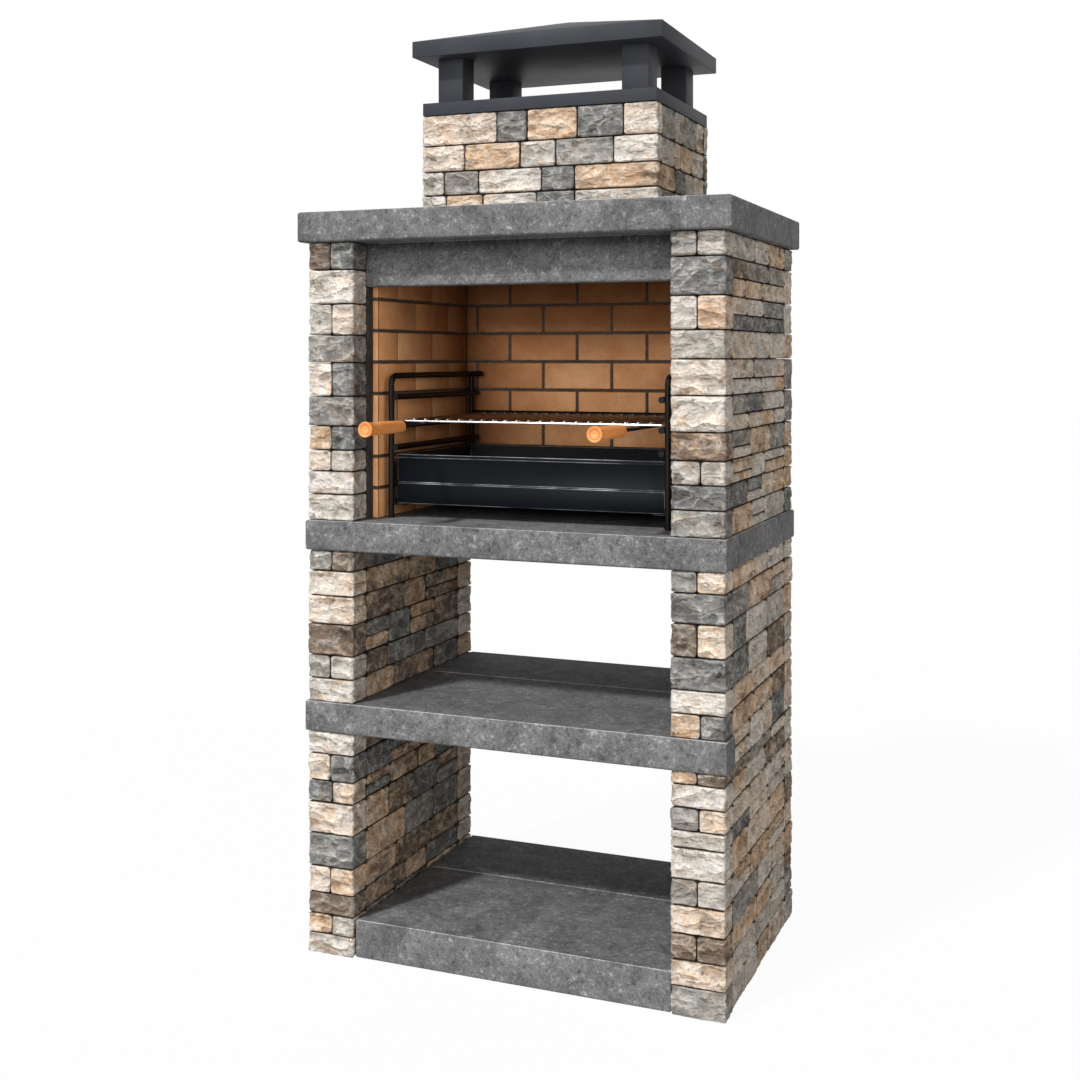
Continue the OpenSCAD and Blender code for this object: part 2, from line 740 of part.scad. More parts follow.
// Right side frame: a tube bent into front leg and top rail, rear leg, rests and tray runner
module rack_right_frame() {
    r = rack_tube / 2;
    color(rack_black) {
        translate([leg_x, leg_front_y, hearth_top]) cylinder(h = rack_h - rack_bend, r = r);
        translate([leg_x, leg_front_y + rack_bend, rack_top - rack_bend]) rotate([90, 0, 90])
            rotate([0, 0, 90]) rotate_extrude(angle = 90) translate([rack_bend, 0]) circle(r = r);
        translate([leg_x, leg_front_y + rack_bend, rack_top]) rotate([-90, 0, 0])
            cylinder(h = rack_d - rack_bend, r = r);
        translate([leg_x, leg_rear_y, hearth_top]) cylinder(h = rack_h, r = r);
        rear_stub(rack_h);
        tray_runner();
        for (level = [rest_low, rest_mid, rest_high]) grid_rest(level);
    }
}

// Two cross tubes between the rear legs, their ends cut to the legs' round
module rack_rear_bars() {
    r = rack_tube / 2;
    d = rack_tube - 2 * weld_sink;
    color(rack_black) difference() {
        for (level = [tray_level - runner_t - r, rest_mid + rack_tube + weld_sink])
            translate([0, leg_rear_y, hearth_top + level]) rod_x(0, 0, 2 * leg_x, d);
        for (s = [-1, 1]) translate([s * leg_x, leg_rear_y, hearth_top]) cylinder(h = rack_h, r = r);
    }
}

// Charcoal tray folded from sheet, with a ledge across its front and a hem round its rim
module charcoal_tray() {
    t = tray_t;
    color(tray_black) translate([-tray_w / 2, tray_front_y, tray_z]) difference() {
        union() {
            translate([0, tray_ledge_d, 0]) cube([tray_w, tray_d - tray_ledge_d, tray_h]);
            rotate([90, 0, 90]) linear_extrude(tray_w)
                polygon([
                    [tray_ledge_d, 0], [tray_ledge_d / 2, 0], [0, tray_ledge_h],
                    [tray_ledge_d, tray_ledge_h + t]
                ]);
            translate([-tray_hem / 4, tray_ledge_d - tray_hem / 4, tray_h - tray_hem])
                cube([tray_w + tray_hem / 2, tray_d - tray_ledge_d + tray_hem / 2, tray_hem]);
        }
        translate([t, tray_ledge_d + t, t])
            cube([tray_w - 2 * t, tray_d - tray_ledge_d - 2 * t, tray_h]);
    }
}

// A rod along Y between two points of the grid
module rod_y(x, y0, y1, z, d) {
    translate([x, y0, z]) rotate([-90, 0, 0]) cylinder(h = y1 - y0, d = d);
}

// A rod along X, centred
module rod_x(y, z, length, d) {
    translate([-length / 2, y, z]) rotate([0, 90, 0]) cylinder(h = length, d = d);
}

// Grid frame: a rod bent into a rectangle, with two stiffeners across it
module grid_frame() {
    r = grid_rod / 2;
    bend = grid_rod * 1.6;
    x = grid_w / 2 - r;
    y0 = grid_front_y + r;
    y1 = grid_front_y + grid_d - r;
    color(bright_chrome) {
        for (y = [y0, y1]) rod_x(y, grid_z, 2 * (x - bend), grid_rod);
        for (s = [-1, 1]) rod_y(s * x, y0 + bend, y1 - bend, grid_z, grid_rod);
        for (side = [0, 1]) mirror([side, 0, 0]) {
            translate([x - bend, y0 + bend, grid_z]) rotate([0, 0, -90])
                rotate_extrude(angle = 90) translate([bend, 0]) circle(d = grid_rod);
            translate([x - bend, y1 - bend, grid_z])
                rotate_extrude(angle = 90) translate([bend, 0]) circle(d = grid_rod);
        }
        for (y = stiffener_y) rod_x(y, grid_z, 2 * x, grid_rod * 0.9);
    }
}

// Cross wires laid over the frame and welded to it, their ends just past the rods
module grid_wires() {
    span = grid_w - 2 * grid_rod;
    color(bright_chrome) for (i = [1:wire_count])
        rod_y(-span / 2 + span * i / (wire_count + 1), grid_front_y, grid_front_y + grid_d,
            wire_z, grid_wire);
}

// Steel shanks welded under the front rod and the first stiffener
module handle_shanks() {
    color(rack_black) for (s = [-1, 1])
        rod_y(s * handle_x, grip_y - tang_l, stiffener_y[0] + grid_rod,
            shank_z, shank_d);
}

// Turned wooden grips with a flared, dished end, bored for the shank
module handle_grips() {
    r = grip_d / 2;
    fit = 0.1;
    color(grip_wood) for (s = [-1, 1])
        translate([s * handle_x, grip_y, shank_z]) rotate([90, 0, 0]) difference() {
            rotate_extrude($fn = 72)
                polygon([
                    [0, 0], [r * 0.68, 0], [r * 0.76, grip_l * 0.015], [r * 0.84, grip_l * 0.35],
                    [r * 0.87, grip_l * 0.62], [r * 0.83, grip_l * 0.80], [r * 0.86, grip_l * 0.88],
                    [r * 0.96, grip_l * 0.945], [r, grip_l * 0.975], [r * 0.97, grip_l * 0.993],
                    [r * 0.90, grip_l], [r * 0.70, grip_l * 0.985], [0, grip_l * 0.972]
                ]);
            translate([0, 0, -eps]) cylinder(h = tang_l + eps + fit, r = shank_d / 2 + fit);
        }
}

plinth_front_slab();
plinth_rear_slab();
shelf_front_slab();
shelf_rear_slab();
hearth_slab();
mantel_slab();
lintel();
on_left() right_jamb();  // left_jamb
right_jamb();
on_left() wall_core(bay_core_x, core_x, 0, lower_h);  // left_lower_core
wall_core(bay_core_x, core_x, 0, lower_h);  // right_lower_core
on_left() wall_core(bay_core_x, core_x, shelf_top, middle_h);  // left_middle_core
wall_core(bay_core_x, core_x, shelf_top, middle_h);  // right_middle_core
on_left() wall_core(lining_x, core_x, hearth_top, upper_h);  // left_upper_core
wall_core(lining_x, core_x, hearth_top, upper_h);  // right_upper_core
on_left() front_blocks(left_lower_courses, left_lower_pairs, 0, lower_h, 11);  // left_lower_front_blocks
on_left() front_blocks(left_middle_courses, left_middle_pairs, shelf_top, middle_h, 111);  // left_middle_front_blocks
on_left() front_blocks(left_upper_courses, left_upper_pairs, hearth_top, upper_h, 211);  // left_upper_front_blocks
front_blocks(right_lower_courses, right_lower_pairs, 0, lower_h, 311);  // right_lower_front_blocks
front_blocks(right_middle_courses, right_middle_pairs, shelf_top, middle_h, 411);  // right_middle_front_blocks
front_blocks(right_upper_courses, right_upper_pairs, hearth_top, upper_h, 511);  // right_upper_front_blocks
on_left() rear_blocks(tall_courses(left_lower_courses, left_middle_courses), 0, hearth_z, wall_t, 611);  // left_lower_rear_blocks
on_left() rear_blocks(left_upper_courses, hearth_top, upper_h, wall_x - lining_x, 711);  // left_upper_rear_blocks
rear_blocks(tall_courses(right_lower_courses, right_middle_courses), 0, hearth_z, wall_t, 811);  // right_lower_rear_blocks
rear_blocks(right_upper_courses, hearth_top, upper_h, wall_x - lining_x, 911);  // right_upper_rear_blocks
on_left() outer_facing(tall_courses(left_lower_courses, left_middle_courses),  // left_lower_outer_facing
        0, hearth_z, single_course_h, 1000);
on_left() outer_facing(left_upper_courses, hearth_top, upper_h, paired_course_h, 3000);  // left_upper_outer_facing
outer_facing(tall_courses(right_lower_courses, right_middle_courses),  // right_lower_outer_facing
        0, hearth_z, single_course_h, 5000);
outer_facing(right_upper_courses, hearth_top, upper_h, paired_course_h, 7000);  // right_upper_outer_facing
on_left() inner_facing(left_lower_courses, 0, lower_h, 9000);  // left_lower_inner_facing
on_left() inner_facing(left_middle_courses, shelf_top, middle_h, 11000);  // left_middle_inner_facing
inner_facing(right_lower_courses, 0, lower_h, 13000);  // right_lower_inner_facing
inner_facing(right_middle_courses, shelf_top, middle_h, 15000);  // right_middle_inner_facing
chamber_back_panel();
on_left() right_mortar_bed();  // left_mortar_bed
right_mortar_bed();
back_mortar_bed();
on_left() right_firebricks();  // left_firebricks
right_firebricks();
back_firebricks();
flue_block();
chimney_stones();
cap_base_ring();
cap_posts();
cap_soffit();
cap_roof();
on_left() rack_right_frame();  // rack_left_frame
rack_right_frame();
rack_rear_bars();
charcoal_tray();
grid_frame();
grid_wires();
handle_shanks();
handle_grips();
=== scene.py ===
import bpy
import bmesh
import random
from math import radians
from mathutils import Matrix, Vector, noise


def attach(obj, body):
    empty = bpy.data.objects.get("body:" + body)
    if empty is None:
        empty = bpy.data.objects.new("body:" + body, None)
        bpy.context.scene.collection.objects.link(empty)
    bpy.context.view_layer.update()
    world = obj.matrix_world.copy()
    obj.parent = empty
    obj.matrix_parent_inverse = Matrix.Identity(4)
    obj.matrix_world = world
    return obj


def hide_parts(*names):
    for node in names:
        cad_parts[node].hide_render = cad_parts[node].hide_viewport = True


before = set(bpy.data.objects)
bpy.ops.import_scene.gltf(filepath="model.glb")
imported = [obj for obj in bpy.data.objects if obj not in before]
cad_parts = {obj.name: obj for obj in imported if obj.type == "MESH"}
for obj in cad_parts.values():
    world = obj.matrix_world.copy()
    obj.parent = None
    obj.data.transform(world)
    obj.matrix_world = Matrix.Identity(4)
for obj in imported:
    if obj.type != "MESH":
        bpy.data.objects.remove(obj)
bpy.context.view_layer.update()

# Plinth, shelf, hearth and mantel slabs, and the lintel
# Cast concrete, dark grey and mottled, with a painted highlight on the rounded top edges; the lintel's upper
# face carries painted shade.
# The plinth stands between the walls; the others are bedded on the stone courses.
bpy.context.scene.view_settings.view_transform = "Standard"


def paint(red, green, blue):
    """A colour read off a paint card, 0 to 255 a channel, as the shader wants it."""
    channels = []
    for value in (red, green, blue):
        value = value / 255
        channels.append(value / 12.92 if value <= 0.04045 else ((value + 0.055) / 1.055) ** 2.4)
    return (*channels, 1)


def reach(node):
    """The lowest and the highest corner of a CAD node, in metres."""
    spots = [vert.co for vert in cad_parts[node].data.vertices]
    return [Vector([pick(spot[axis] for spot in spots) for axis in range(3)]) for pick in (min, max)]


def own_copy(node, name):
    """A merged copy of a node's mesh, selected alone and active, its flat faces whole again."""
    bpy.ops.object.select_all(action="DESELECT")
    piece = bpy.data.objects.new(name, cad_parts[node].data.copy())
    bpy.context.scene.collection.objects.link(piece)
    piece.data.materials.clear()
    piece.select_set(True)
    bpy.context.view_layer.objects.active = piece
    bpy.ops.object.mode_set(mode="EDIT")
    bpy.ops.mesh.select_all(action="SELECT")
    bpy.ops.mesh.remove_doubles(threshold=0.00001)
    bpy.ops.mesh.dissolve_limited(angle_limit=radians(0.5))
    bpy.ops.mesh.select_all(action="DESELECT")
    bpy.ops.object.mode_set(mode="OBJECT")
    return piece


def round_edges(piece, width, segments=2, edge_material=0):
    """Rounds the sharp edges of a piece and smooths its shading."""
    bevel = piece.modifiers.new("rounded edges", "BEVEL")
    bevel.width = width
    bevel.segments = segments
    bevel.limit_method = "ANGLE"
    bevel.angle_limit = radians(20)
    bevel.use_clamp_overlap = True
    bevel.material = edge_material
    bpy.ops.object.modifier_apply(modifier=bevel.name)
    bpy.ops.object.shade_smooth_by_angle(angle=radians(40))


def blank_material(name, roughness):
    """A material with its shader, and a helper that adds a node and sets its inputs."""
    material = bpy.data.materials.new(name)
    material.use_nodes = True
    tree = material.node_tree
    shader = tree.nodes["Principled BSDF"]
    shader.inputs["Roughness"].default_value = roughness

    def add(kind, inputs=None, **settings):
        node = tree.nodes.new("ShaderNode" + kind)
        for key, value in settings.items():
            setattr(node, key, value)
        for key, value in (inputs or {}).items():
            if isinstance(value, bpy.types.NodeSocket):
                tree.links.new(value, node.inputs[key])
            else:
                node.inputs[key].default_value = value
        return node

    return material, tree, shader, add


def ramp(add, factor, stops, interpolation="LINEAR"):
    """A colour ramp over a factor; stops are pairs of place and colour."""
    node = add("ValToRGB", {"Fac": factor})
    node.color_ramp.interpolation = interpolation
    elements = node.color_ramp.elements
    while len(elements) < len(stops):
        elements.new(0.5)
    for element, (place, colour) in zip(elements, stops):
        element.position = place
        element.color = colour
    return node.outputs["Color"]


def mix(add, factor, one, two, blend="MIX"):
    """One colour laid over another."""
    node = add("Mix", data_type="RGBA", blend_type=blend)
    tree = node.id_data
    for key, value in ((0, factor), (6, one), (7, two)):
        if isinstance(value, bpy.types.NodeSocket):
            tree.links.new(value, node.inputs[key])
        else:
            node.inputs[key].default_value = value
    return node.outputs[2]


def cast_concrete(name, dark, middle, light, shaded_from=None):
    """Mottled cast concrete: soft clouds, a coarse speckle and fine grain. Given a height to
    start from, it darkens over the 4 cm above it with painted shade, an overhang's shadow."""
    material, tree, shader, add = blank_material(name, 0.85)
    shader.inputs["Specular IOR Level"].default_value = 0.25
    place = add("TexCoord").outputs["Object"]
    clouds = add("TexNoise", {"Vector": place, "Scale": 13.0, "Detail": 8.0, "Roughness": 0.68,
                              "Distortion": 0.9})
    speckle = add("TexNoise", {"Vector": place, "Scale": 82.0, "Detail": 8.0, "Roughness": 0.76,
                               "Distortion": 0.4})
    grain = add("TexNoise", {"Vector": place, "Scale": 230.0, "Detail": 4.0, "Roughness": 0.75})
    mottle = ramp(add, speckle.outputs["Fac"], [(0.35, dark), (0.46, middle), (0.55, middle), (0.68, light)])
    wash = ramp(add, clouds.outputs["Fac"],
                [(0.34, (0.54, 0.54, 0.55, 1)), (0.50, (0.88, 0.88, 0.88, 1)), (0.66, (1.24, 1.23, 1.22, 1))])
    base = mix(add, 0.9, mottle, wash, "MULTIPLY")
    fine = ramp(add, grain.outputs["Fac"],
                [(0.36, (0.38, 0.38, 0.38, 1)), (0.50, (1.0, 1.0, 1.0, 1)), (0.64, (1.6, 1.6, 1.6, 1))])
    base = mix(add, 0.5, base, fine, "MULTIPLY")
    # Painted shade: the colour darkens over 4 cm above the given height, standing in for an overhang's
    # shadow.
    if shaded_from:
        upward = add("SeparateXYZ", {"Vector": place}).outputs["Z"]
        rise = add("MapRange", {"Value": upward, "From Min": shaded_from, "From Max": shaded_from + 0.04})
        smoke_and_shade = ramp(add, rise.outputs["Result"], [(0.0, (1, 1, 1, 1)), (0.9, (0.36, 0.35, 0.34, 1))])
        base = mix(add, 1.0, base, smoke_and_shade, "MULTIPLY")
    tree.links.new(base, shader.inputs["Base Color"])
    pits = add("Math", {0: speckle.outputs["Fac"], 1: grain.outputs["Fac"]}, operation="ADD")
    bump = add("Bump", {"Height": pits.outputs[0], "Strength": 0.35, "Distance": 0.0016})
    tree.links.new(bump.outputs["Normal"], shader.inputs["Normal"])
    return material


slab_concrete = cast_concrete("cast concrete", paint(72, 72, 74), paint(112, 112, 113), paint(170, 170, 170))
# A paler concrete for the rounded top edges: a painted highlight where the top arris catches the light.
slab_edge_highlight = cast_concrete("painted highlight on concrete top edges", paint(138, 138, 138), paint(186, 185, 183),
                          paint(222, 221, 218))
# The lintel's leaning upper face carries painted shade, the shadow of the mantel's overhang.
above_band = reach("lintel")[0].z + 0.044
lintel_concrete = cast_concrete("cast concrete with painted shade", paint(72, 72, 74), paint(112, 112, 113),
                                paint(170, 170, 170), above_band)
for node in ("plinth_front_slab", "plinth_rear_slab", "shelf_front_slab", "shelf_rear_slab",
             "hearth_slab", "mantel_slab", "lintel"):
    slab = own_copy(node, node + "_cast")
    slab.data.materials.append(lintel_concrete if node == "lintel" else slab_concrete)
    slab.data.materials.append(slab_edge_highlight)
    round_edges(slab, 0.0012, 2, 1)
    # Only the rounded edges along the top keep the paler concrete, as painted highlight.
    crown = max(vert.co.z for vert in slab.data.vertices)
    for face in slab.data.polygons:
        if face.center.z < crown - 0.002:
            face.material_index = 0
    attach(slab, "structure")
    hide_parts(node)

# Wall cores, flue block and chamber back panel
# Plain cast blocks. Only the back panel shows; the cores are seen as dark depth in the
# joints between the stones that are bonded to them.


def finish_node(node, material):
    """Gives a CAD node that is seen as it is its material."""
    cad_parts[node].data.materials.clear()
    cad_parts[node].data.materials.append(material)


panel_grey = cast_concrete("plain cast back panel", paint(96, 95, 93), paint(132, 130, 127),
                           paint(172, 169, 164))
finish_node("chamber_back_panel", panel_grey)

joint_dark, tree, shader, add = blank_material("dark adhesive in the joints", 0.95)
place = add("TexCoord").outputs["Object"]
daubs = add("TexNoise", {"Vector": place, "Scale": 40.0, "Detail": 4.0})
tree.links.new(ramp(add, daubs.outputs["Fac"], [(0.3, paint(48, 44, 40)), (0.7, paint(78, 72, 66))]),
               shader.inputs["Base Color"])
for node in ("left_lower_core", "right_lower_core", "left_middle_core", "right_middle_core",
             "left_upper_core", "right_upper_core", "flue_block"):
    finish_node(node, joint_dark)

# Corner blocks, the visible ends of the side walls
# Natural stone in courses, split so that the outer faces are rough and the beds flat.
# Each stone has its own tone; the tones name them from the bottom course up, left to right.
TONES = {"slate": 0.05, "grey": 0.20, "ash": 0.36, "white": 0.52, "cream": 0.66, "tan": 0.80, "brown": 0.90,
         "umber": 0.97}
MIXED_LOT = (["slate"] * 4 + ["grey"] * 5 + ["ash"] * 5 + ["white"] * 3 + ["cream"] * 5 + ["tan"] * 3
             + ["umber"] * 4)
PALE_LOT = (["slate"] * 3 + ["grey"] * 3 + ["ash"] * 4 + ["white"] * 7 + ["cream"] * 10 + ["tan"] * 7
            + ["umber"] * 2)
WARM_LOT = ["slate"] * 8 + ["grey"] * 3 + ["tan"] * 6 + ["brown"] * 8 + ["umber"] * 5


CELL = 0.005   # small faces that a stone is cut into
SKIN = 0.012                            # how deep the breaking reaches into a stone
CORNER = 0.008                          # rounding of a stone's corners at the joints
JOINT_BAND = 0.0045                     # width of the band along a joint with painted highlight, and painted shade at the joint
WEAR = 0.0006                           # what is worn off a face that doesn't show
ON_FACE = 0.0005                        # how near a spot lies that belongs to a face


def tilt(point):
    """Which way the flat break round a point leans. It takes noise.noise three times, because
    noise.noise_vector gives other values in each run."""
    return Vector([noise.noise(point + Vector((0, 0, step))) for step in (0, 17.3, 41.7)])


def broken_face(spot, shift, lean):
    """How far a split face lies back at a spot, from 0 to about 1, and where the spot lies
    between two ledges, counted downwards. The face swells towards each ledge and then drops;
    flat breaks that meet in ridges lie over that."""
    large = Vector((spot.x * 24, spot.y * 24, spot.z * 34)) + shift
    ledge = (0.75 * noise.noise(Vector((spot.x * 9, spot.y * 9, spot.z * 14)) + shift)
             + 0.30 * noise.noise(large * 1.6) + (spot.x + spot.y) * lean - spot.z * 30)
    cell = noise.voronoi(large)[1][0]
    flat = noise.noise(cell * 2.3) + 1.7 * tilt(cell * 3.1).dot(large - cell)
    small = large * 2.4 + shift
    chip = noise.voronoi(small)[1][0]
    scale = noise.noise(chip * 1.7) + 1.5 * tilt(chip * 2.9).dot(small - chip)
    drop = (1 - ledge % 1.0) ** 1.4
    depth = 0.50 * drop + 0.12 + 0.46 * flat + 0.26 * scale + 0.14 * noise.noise(large * 5)
    return max(0.0, min(1.2, depth)), ledge


def split_stones(node, name, outward, seed, tones=None, rows_along=0, lot_of=MIXED_LOT):
    """Splits each stone of a node: cuts it into small faces, breaks its outer faces back and
    gives it a tone and a place of its own in the rock pattern. outward lists the faces that show
    as axis, side and depth of the break in metres."""
    piece = own_copy(node, name)
    rock = bmesh.new()
    rock.from_mesh(piece.data)
    low = [min(v.co[axis] for v in rock.verts) for axis in range(3)]
    high = [max(v.co[axis] for v in rock.verts) for axis in range(3)]
    for axis in range(3):
        cuts = max(1, round((high[axis] - low[axis]) / CELL))
        normal = Vector([1.0 if k == axis else 0.0 for k in range(3)])
        for i in range(1, cuts):
            level = low[axis] + (high[axis] - low[axis]) * (i + 0.13) / cuts
            everything = rock.verts[:] + rock.edges[:] + rock.faces[:]
            bmesh.ops.bisect_plane(rock, geom=everything, dist=0.0004, plane_co=normal * level,
                                   plane_no=normal)
    tone_layer = rock.verts.layers.float.new("tone")
    hollow_layer = rock.verts.layers.float.new("hollow")
    ledge_layer = rock.verts.layers.float.new("ledge")
    rim_layer = rock.verts.layers.float.new("rim")
    shift_layer = rock.verts.layers.float_vector.new("rock_place")
    waiting = set(rock.verts)
    stones = []
    while waiting:
        first = waiting.pop()
        stone, queue = [first], [first]
        while queue:
            for edge in queue.pop().link_edges:
                for vert in edge.verts:
                    if vert in waiting:
                        waiting.remove(vert)
                        stone.append(vert)
                        queue.append(vert)
        base = [min(v.co[axis] for v in stone) for axis in range(3)]
        top = [max(v.co[axis] for v in stone) for axis in range(3)]
        stones.append((base, top, stone))
    stones.sort(key=lambda entry: [round(entry[0][axis], 3) for axis in (2, rows_along, 1 - rows_along)])
    lot = random.Random(seed)
    named = iter(tones or [])
    for base, top, stone in stones:
        in_front = tones and base[1] < low[1] + 0.01
        tone = TONES[next(named) if in_front else lot.choice(lot_of)] + lot.uniform(-0.03, 0.03)
        shift = Vector([lot.uniform(-9, 9) for _ in range(3)])
        arris = lot.uniform(0.0022, 0.0036)
        lean = lot.uniform(-4, 4)
        faces = [(axis, side, relief) for axis, side, relief in outward
                 if abs((top if side > 0 else base)[axis] - (high if side > 0 else low)[axis]) < SKIN]
        turned = {(axis, side) for axis, side, _ in faces}
        for vert in stone:
            spot = vert.co.copy()
            vert[tone_layer] = tone
            vert[shift_layer] = shift
            ends = [min(spot[k] - base[k], top[k] - spot[k]) for k in range(3)]
            joint = [min(1 if (k, -1) in turned else spot[k] - base[k],
                         1 if (k, 1) in turned else top[k] - spot[k]) for k in range(3)]
            depth, ledge, rim = None, 0.5, None
            for axis, side, relief in faces:
                gap = (top[axis] - spot[axis]) if side > 0 else (spot[axis] - base[axis])
                weight = 1 - gap / SKIN
                if weight <= 0:
                    continue
                if depth is None:
                    depth, ledge = broken_face(spot, shift, lean)
                    chipped = arris * (0.8 + 1.0 * max(0.0, noise.noise(spot * 70 + shift) + 0.2))
                edge = min(ends[k] for k in range(3) if k != axis)
                seams = (joint[0], joint[2]) if axis == 1 else (joint[1] * 0.5, joint[2])
                near, far = sorted(seams)
                if far < CORNER:
                    near = CORNER - ((CORNER - near) ** 2 + (CORNER - far) ** 2) ** 0.5
                    edge = max(0.0, min(edge, near))
                rim = max(rim or 0.0, 1 - near / JOINT_BAND)
                inner = min(1.0, edge / SKIN)
                back = relief * depth * (0.22 + 0.78 * inner * inner * (3 - 2 * inner))
                if edge < chipped:
                    back += chipped - (chipped ** 2 - (chipped - edge) ** 2) ** 0.5
                vert.co[axis] -= side * back * weight
            vert[hollow_layer] = 0.4 if depth is None else depth
            vert[ledge_layer] = ledge
            vert[rim_layer] = 1.2 if rim is None else rim
            shown = [axis for axis, _, _ in faces]
            for axis in range(3):
                if axis not in shown and ends[axis] < ON_FACE:
                    worn = WEAR * max(0.1, 0.7 + noise.noise(spot * 60 - shift))
                    vert.co[axis] += worn if spot[axis] - base[axis] < ON_FACE else -worn
    rock.to_mesh(piece.data)
    rock.free()
    piece.data.materials.append(split_stone)
    bpy.ops.object.shade_smooth_by_angle(angle=radians(50))
    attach(piece, "structure")
    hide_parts(node)


split_stone, tree, shader, add = blank_material("split stone", 0.9)
shader.inputs["Specular IOR Level"].default_value = 0.25
here = add("TexCoord").outputs["Object"]
moved = add("Attribute", attribute_name="rock_place", attribute_type="GEOMETRY").outputs["Vector"]
tone = add("Attribute", attribute_name="tone", attribute_type="GEOMETRY").outputs["Fac"]
hollow = add("Attribute", attribute_name="hollow", attribute_type="GEOMETRY").outputs["Fac"]
ledge = add("Attribute", attribute_name="ledge", attribute_type="GEOMETRY").outputs["Fac"]
rim = add("Attribute", attribute_name="rim", attribute_type="GEOMETRY").outputs["Fac"]
place = add("VectorMath", {0: here, 1: moved}, operation="ADD").outputs["Vector"]
beds = add("Mapping", {"Vector": place, "Scale": (1.0, 1.0, 1.6)}).outputs["Vector"]
patches = add("TexNoise", {"Vector": beds, "Scale": 17.0, "Detail": 5.0, "Roughness": 0.6,
                           "Distortion": 0.7}).outputs["Fac"]
patch = add("MapRange", {"Value": patches, "From Min": 0.3, "From Max": 0.7, "To Min": -0.13,
                         "To Max": 0.13}).outputs["Result"]
scale = add("Math", {0: tone, 1: patch}, operation="ADD").outputs[0]
base = ramp(add, scale, [
    (0.00, paint(126, 128, 130)), (0.12, paint(150, 150, 149)), (0.25, paint(182, 178, 172)),
    (0.38, paint(216, 210, 202)), (0.52, paint(239, 233, 227)), (0.67, paint(241, 226, 211)),
    (0.81, paint(233, 200, 168)), (0.97, paint(134, 119, 107))])
veins = add("TexNoise", {"Vector": beds, "Scale": 44.0, "Detail": 8.0, "Roughness": 0.68,
                         "Distortion": 1.6}).outputs["Fac"]
vein_tint = ramp(add, veins, [
    (0.33, (0.52, 0.49, 0.46, 1)), (0.45, (0.94, 0.93, 0.92, 1)), (0.58, (1.04, 1.03, 1.02, 1)),
    (0.70, (1.30, 1.29, 1.28, 1))])
base = mix(add, 0.5, base, vein_tint, "MULTIPLY")
rust = add("TexNoise", {"Vector": beds, "Scale": 20.0, "Detail": 6.0, "Roughness": 0.66,
                        "Distortion": 0.9}).outputs["Fac"]
rust_part = ramp(add, rust, [(0.54, (0, 0, 0, 1)), (0.66, (0.6, 0.6, 0.6, 1))])
base = mix(add, rust_part, base, mix(add, 1.0, base, paint(244, 207, 168), "MULTIPLY"))
ridges = add("TexNoise", {"Vector": beds, "Scale": 27.0, "Detail": 6.0, "Roughness": 0.55,
                          "Distortion": 0.25, "Offset": 1.0, "Gain": 1.2},
             noise_type="RIDGED_MULTIFRACTAL").outputs["Fac"]
ridge = add("Math", {0: ridges, 1: 0.5}, operation="MULTIPLY").outputs[0]
# Painted shade in the valleys and painted highlight on the crests of the ridged relief that the bump also
# follows.
ridge_tint = ramp(add, ridge, [
    (0.10, (0.50, 0.47, 0.44, 1)), (0.30, (0.88, 0.86, 0.84, 1)), (0.55, (1.06, 1.06, 1.06, 1)),
    (0.80, (1.28, 1.28, 1.27, 1))])
base = mix(add, 0.6, base, ridge_tint, "MULTIPLY")
# Pale streaks on the highest ridges: painted highlight.
pale_part = ramp(add, ridge, [(0.55, (0, 0, 0, 1)), (0.88, (0.42, 0.42, 0.42, 1))])
base = mix(add, pale_part, base, paint(226, 222, 214))
# Painted shade and highlight from the relief: the deep hollows of a broken face are darker and warmer, the
# proud parts paler.
deep = ramp(add, hollow, [
    (0.10, (1.16, 1.16, 1.16, 1)), (0.45, (1.0, 1.0, 1.0, 1)), (0.95, (0.52, 0.49, 0.46, 1))])
base = mix(add, 0.9, base, deep, "MULTIPLY")
frayed = add("Math", {0: veins, 1: 0.4, 2: ledge}, operation="MULTIPLY_ADD").outputs[0]
step = add("Math", {0: frayed}, operation="FRACT").outputs[0]
# Painted highlight on the crest of each ledge and painted shade in the step just below it, where the patches
# allow.
crest = ramp(add, step, [
    (0.00, (0.34, 0.30, 0.27, 1)), (0.05, (0.50, 0.47, 0.44, 1)), (0.14, (0.90, 0.89, 0.88, 1)),
    (0.70, (1.0, 1.0, 1.0, 1)), (0.88, (1.14, 1.14, 1.13, 1)), (0.96, (1.28, 1.28, 1.26, 1))])
broken = ramp(add, patches, [(0.40, (0.15, 0.15, 0.15, 1)), (0.55, (1, 1, 1, 1))])
base = mix(add, broken, base, mix(add, 0.85, base, crest, "MULTIPLY"))
# Painted highlight on a band just inside each stone's arris, and painted shade on its outermost millimetre
# and on the faces inside the joint.
arris_light_and_joint_shade = ramp(add, rim, [
    (0.25, (1.0, 1.0, 1.0, 1)), (0.55, (1.14, 1.14, 1.14, 1)), (0.70, (0.98, 0.97, 0.96, 1)),
    (0.84, (0.40, 0.37, 0.34, 1)), (0.96, (0.16, 0.14, 0.12, 1))])
base = mix(add, 1.0, base, arris_light_and_joint_shade, "MULTIPLY")
pores = add("TexNoise", {"Vector": place, "Scale": 230.0, "Detail": 4.0, "Roughness": 0.65}).outputs["Fac"]
pore_tint = ramp(add, pores, [(0.30, (0.62, 0.61, 0.60, 1)), (0.52, (1.05, 1.05, 1.04, 1))])
base = mix(add, 0.6, base, pore_tint, "MULTIPLY")
tree.links.new(base, shader.inputs["Base Color"])
swell = add("Math", {0: step, 1: broken}, operation="MULTIPLY").outputs[0]
coarse = add("Math", {0: ridges, 1: 0.55, 2: swell}, operation="MULTIPLY_ADD").outputs[0]
middle = add("Math", {0: veins, 1: 0.8, 2: coarse}, operation="MULTIPLY_ADD").outputs[0]
